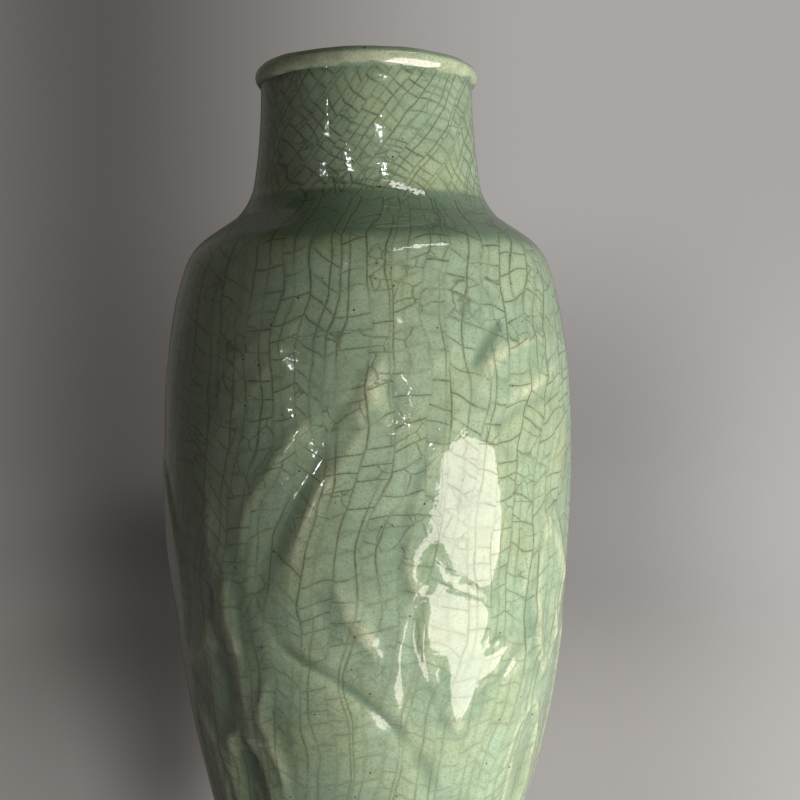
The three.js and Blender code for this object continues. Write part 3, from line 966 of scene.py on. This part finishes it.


# Paper with painted shade that falls off to the left, a painted shadow low behind the vase and
# painted light low on its right. The camera and mirrors see the share that it glows, and from
# outside it isn't there.
def paperMaterial():
    material, shader, place = newMaterial("studio_paper")
    tree = material.node_tree
    x, y, z = partsOf(place)
    away = calc("SQRT", x * x + y * y)
    far = ramp(away, 0.25, 0.95)
    # the shade lies to the left, seen from a little in front of the vase
    bearing = x / greatest(y + 0.5, 0.6)
    left = ramp(bearing, 0.16, -0.24) - ramp(bearing, -0.2, -0.5) * 0.5
    colour = mixed(left * (ramp(y, -0.1, 0.45) * 0.4 + 0.6), studio["lit"], studio["shaded"])
    # painted shadow: a soft dark zone low behind the vase; and painted light: a paler zone low on the right
    behindVase = ramp(calc("ABSOLUTE", bearing - 0.02), 0.42, 0.08)
    lowDown = ramp(z, 0.6, 0.0)
    hollow = behindVase * lowDown * studio["hollow"]
    colour = mixed(hollow * ramp(away, 0.15, 0.7), colour, black)
    colour = mixed(ramp(bearing, 0.2, 0.4) * (lowDown * studio["paintedLightRight"]), colour, white)
    # the soft shade beside the vase
    reach = calc("MINIMUM", y * 0.17 + 0.055, 0.13)
    cast = ramp(calc("ABSOLUTE", bearing - studio["castBearing"]), reach, 0.0)
    cast = cast * ramp(y, -0.05, 0.2) * ramp(y, 1.8, 0.75)
    colour = mixed(cast * studio["castShade"], colour, black)
    # in front of the vase and under the key lamp the paper is lit less, so that the lamps leave no
    # hot spots on it
    front = greatest(ramp(y, 0.1, -0.15) * ramp(away, 0.08, 0.3), ramp(bearing, 0.4, 0.75)) * studio["unlit"]
    rays = addNode(tree, "ShaderNodeLightPath").outputs
    inCamera, inMirror, inGlass = (
        Value(rays[f"Is {kind} Ray"]) for kind in ("Camera", "Glossy", "Transmission"))
    seen = greatest(inCamera, greatest(inMirror, inGlass) * studio["mirrorShare"])
    near = left * studio["leftGlow"] + studio["nearGlow"]
    glow = made("ShaderNodeMix", {0: greatest(far, front), 2: near, 3: studio["farGlow"]})
    setInputs(shader, {
        "Base Color": mixed(greatest(far * 0.94, left * 0.5, front), colour, black),
        "Roughness": 0.9,
        "Specular IOR Level": 0.1,
        "Emission Color": colour,
        "Emission Strength": glow * seen,
    })
    outside = Value(addNode(tree, "ShaderNodeNewGeometry").outputs["Backfacing"])
    clear = Value(addNode(tree, "ShaderNodeBsdfTransparent").outputs[0])
    both = made("ShaderNodeMixShader", {0: outside, 1: Value(shader.outputs[0]), 2: clear})
    feed(tree.nodes["Material Output"].inputs["Surface"], both)
    return material


def makeStudio():
    # a round floor that bends up into a wall on every side
    floor, bend, columns = studio["floorRadius"], studio["bend"], 96
    line = [(r, 0.0) for r in (0.05, 0.3, 0.7, 1.1, floor)]
    line += [(floor + bend * math.sin(a), bend - bend * math.cos(a))
             for a in np.linspace(0, math.pi / 2, 13)[1:]]
    line.append((floor + bend, studio["wallTop"]))
    vertices = [(r * math.sin(a), -r * math.cos(a), z) for r, z in line
                for a in anglesOf(columns)]
    faces = [tuple(range(columns))]
    for row in range(len(line) - 1):
        for i in range(columns):
            j = (i + 1) % columns
            low, high = row * columns, (row + 1) * columns
            faces.append((low + i, high + i, high + j, low + j))
    mesh = bpy.data.meshes.new("studio_bowl")
    mesh.from_pydata(vertices, [], faces)
    mesh.polygons.foreach_set("use_smooth", np.ones(len(faces), bool))
    mesh.materials.append(paperMaterial())
    bowl = addObject("studio_bowl", mesh)
    print("studio floor faces up:", mesh.polygons[0].normal.z > 0, mesh.polygons[5].normal.z > 0)


def areaLight(name, place, target, size, power, colour=(1, 1, 1), diffuse=True, glossy=True):
    data = bpy.data.lights.new(name, "AREA")
    data.shape = "RECTANGLE"
    data.size, data.size_y = size
    data.energy = power
    data.color = colour
    obj = addObject(name, data)
    obj.location = place
    direction = np.array(target, float) - np.array(place, float)
    across = math.atan2(direction[1], direction[0]) - math.pi / 2
    down = math.atan2(math.hypot(direction[0], direction[1]), -direction[2])
    obj.rotation_euler = (down, 0, across)
    obj.visible_camera = False
    obj.visible_diffuse = diffuse
    obj.visible_glossy = glossy
    return obj


# Lamps that are placed by their mirror images in the glaze, as seen from the camera. Each place
# is (along, height), as in the relief.
mirrored = {
    "windowPanes": [
        [(32, 206), (39, 203), (46, 198), (45, 192), (48, 179), (48, 165), (45.5, 160), (44, 151),
         (39, 153), (28, 157), (26, 162), (24, 166), (21, 169), (18.5, 167), (15, 162), (17.5, 162),
         (18.5, 157), (16, 154.5), (13.5, 157.5), (12, 162), (15, 168), (18.5, 174), (19, 180),
         (23, 186), (24.5, 193), (26, 200)],
        [(24, 157), (28, 154.5), (36.5, 151), (40, 150.5), (44.5, 145), (42.5, 140), (39, 133),
         (41.5, 131), (50, 133), (53, 130.5), (51, 127.5), (39.5, 121), (42, 117.5), (41, 112),
         (35.6, 106.5), (33, 106.5), (28.8, 112), (26.7, 122), (27, 127), (22, 132), (19, 140),
         (18.5, 147.5), (21, 153)],
        [(13.4, 142.8), (12, 136.8), (8.5, 131.5), (8.5, 125.2), (7, 121.5), (8, 115.5), (9.8, 113.5),
         (12, 113.5), (13.4, 116.5), (12.6, 121.5), (11.4, 128.8), (14.2, 136.5), (14.8, 142.2)],
    ],
    "windowMiddle": (32, 156),
    "windowAway": 45,  # from the vase to the card
    "windowStrength": 8.3,
    "windowColour": (1, 0.88, 0.835, 1),
    "lipPatch": (31, 334.7),
    "lipPatchAway": 14,
    "lipPatchSize": (0.03, 0.021),
    "lipPatchPower": 1.3,  # times the window's
    # their places, widths and heights
    "glints": [(11, 312, 0.07, 0.009), (-12, 300, 0.07, 0.011), (-28.6, 294.5, 0.07, 0.009),
               (11.5, 293, 0.06, 0.008), (-29, 311, 0.04, 0.006), (-9.7, 260.8, 0.05, 0.007),
               (10.5, 245.2, 0.035, 0.005),
               (-25.5, 209, 0.06, 0.011), (7.1, 219, 0.045, 0.005), (12.4, 217, 0.04, 0.004),
               (-24.9, 232.8, 0.05, 0.004), (-22.7, 186.5, 0.04, 0.005), (-14.2, 191.2, 0.035, 0.004)],
    "glintAway": 900,
    "glintRadiance": 110,
}


# The place on the glaze, and the way in which the camera's sight of it is mirrored
def mirrorRay(along, height):
    turn = along / reliefRadius
    flare = bezier(vase["neckFlare"], 60)
    under = np.array([lip["Width"], lip["Thickness"]]) - vase["glaze"]
    roll = roundTurn((lip["Radius"], lip["Height"]), under, -50, 80, 60)
    profile = np.concatenate([clayOutside(), flare, roll])
    at = int(np.abs(profile[:, 1] - height).argmin())
    out, up = lineNormals(profile)[at]
    radius = profile[at, 0] + vase["glaze"]
    place = np.array([radius * math.sin(turn), -radius * math.cos(turn), height])
    normal = np.array([out * math.sin(turn), -out * math.cos(turn), up])
    sight = place - np.array([0, -camera["distance"], camera["height"]])
    sight /= np.linalg.norm(sight)
    return place, sight - 2 * sight.dot(normal) * normal


def makeWindowCard():
    middle, facing = mirrorRay(*mirrored["windowMiddle"])
    centre = middle + facing * mirrored["windowAway"]
    corners, panes = [], []
    for outline in mirrored["windowPanes"]:
        panes.append(range(len(corners), len(corners) + len(outline)))
        for spot in outline:
            place, ray = mirrorRay(*spot)
            corners.append(place + ray * (centre - place).dot(facing) / ray.dot(facing))
    mesh = bpy.data.meshes.new("window_card")
    mesh.from_pydata([tuple(c * toMetres) for c in corners], [], panes)
    material = bpy.data.materials.new("window_glow")
    material.use_nodes = True
    tree = material.node_tree
    glow = addNode(tree, "ShaderNodeEmission", {
        "Color": mirrored["windowColour"], "Strength": mirrored["windowStrength"]})
    feed(tree.nodes["Material Output"].inputs["Surface"], Value(glow.outputs[0]))
    mesh.materials.append(material)
    card = addObject("window_card", mesh)
    card.visible_camera = card.visible_diffuse = card.visible_shadow = False


# A lamp that lights these pieces alone
def lightOnly(lamp, *pieces):
    only = bpy.data.collections.new(lamp.name + "Only")
    for piece in pieces:
        only.objects.link(piece)
    lamp.light_linking.receiver_collection = only


def mirroredLamp(name, spot, away, size, radiance, piece, colour=(1, 1, 1)):
    place, ray = mirrorRay(*spot)
    power = radiance * math.pi * size[0] * size[1]
    lampPlace = (place + ray * away) * toMetres
    lightOnly(areaLight(name, lampPlace, place * toMetres, size, power, colour, diffuse=False), piece)


# Each glint is on the neck or on the body, and its lamp leaves no second image on the other. The
# window's image on the lip comes from a small lamp that lights the lip alone.
def makeMirroredLamps(bodyObject, neckObject, lipObject):
    for number, (along, height, *size) in enumerate(mirrored["glints"]):
        piece = neckObject if height > vase["slopeEnd"][1] else bodyObject
        mirroredLamp(f"glint{number}", (along, height), mirrored["glintAway"], size,
                     mirrored["glintRadiance"], piece)
    mirroredLamp("lipPatch", mirrored["lipPatch"], mirrored["lipPatchAway"], mirrored["lipPatchSize"],
                 mirrored["lipPatchPower"] * mirrored["windowStrength"], lipObject,
                 mirrored["windowColour"][:3])


# The other lamps: place, aim, width and height, power, colour, and whether each lights surfaces
# and shows in mirrors
middle = (0, 0, 0.18)
lamps = {
    "keySoftbox": ((0.96, -0.4, 0.25), middle, (0.7, 0.46), 11.6, (1, 0.99, 0.97), True, False),
    "lowFill": ((0.17, -0.29, 0.03), (0.02, -0.07, 0.09), (0.18, 0.05), 0.56, (1, 0.98, 1), True, False),
    "frontFill": ((0.5, -0.7, 0.07), (0, 0, 0.08), (0.45, 0.13), 1.0, (0.98, 0.98, 1), True, False),
    "leftFill": ((-0.6, -0.3, 1.3), middle, (0.5, 0.5), 1.2, (1, 0.95, 0.76), True, False),
    "backFill": ((-0.15, 1.3, 0.8), middle, (1.2, 1.0), 6.8, (1, 0.96, 0.9), True, False),
    "ceilingLamp": (
        (0.34, -0.33, 0.96), (0.02, -0.06, 0.27), (0.5, 0.045), 0.72, (1, 0.97, 0.93), False, True),
}
# this one lights the vase alone, for its back
backLift = ((0.1, 1.2, 0.4), middle, (0.5, 0.5), 5, (1, 0.98, 0.94), True, False)


def makeLights():
    for name, values in lamps.items():
        areaLight(name, *values)
    makeWindowCard()
    world = bpy.data.worlds.new("studioWorld")
    world.use_nodes = True
    background = world.node_tree.nodes["Background"]
    background.inputs[0].default_value = studio["world"]
    background.inputs[1].default_value = studio["worldStrength"]
    bpy.context.scene.world = world


def assemble():
    glaze = glazeMaterial(crazingGroup())
    bare = bareMaterial()
    bodyPiece, covered = makeBody()
    pieces = [
        (bodyPiece, covered, glaze, "celadon_glaze"),
        (makeNeck(), ["neck"], glaze, "celadon_glaze"),
        (makeLip(glaze), ["lip_coil"], glaze, "celadon_glaze"),
        (makeFloor(), ["floor_slab"], glaze, "celadon_glaze"),
        (makeFoot(), ["foot_ring"], bare, "bare_stoneware"),
    ]
    backLamp = areaLight("backLift", *backLift)
    for piece, nodes, material, slot in pieces:
        faceOutwards(piece)
        if not piece.data.materials:
            piece.data.materials.append(material)
        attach(piece, "root")
        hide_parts(*nodes)
    makeMirroredLamps(*[piece[0] for piece in pieces[:3]])
    lightOnly(backLamp, *[piece[0] for piece in pieces])
    print("vase assembled in", len(pieces), "finished pieces")


makeCamera()
makeStudio()
makeLights()
print("camera, studio and lights in place")
assemble()
bpy.context.scene.view_settings.view_transform = "Standard"
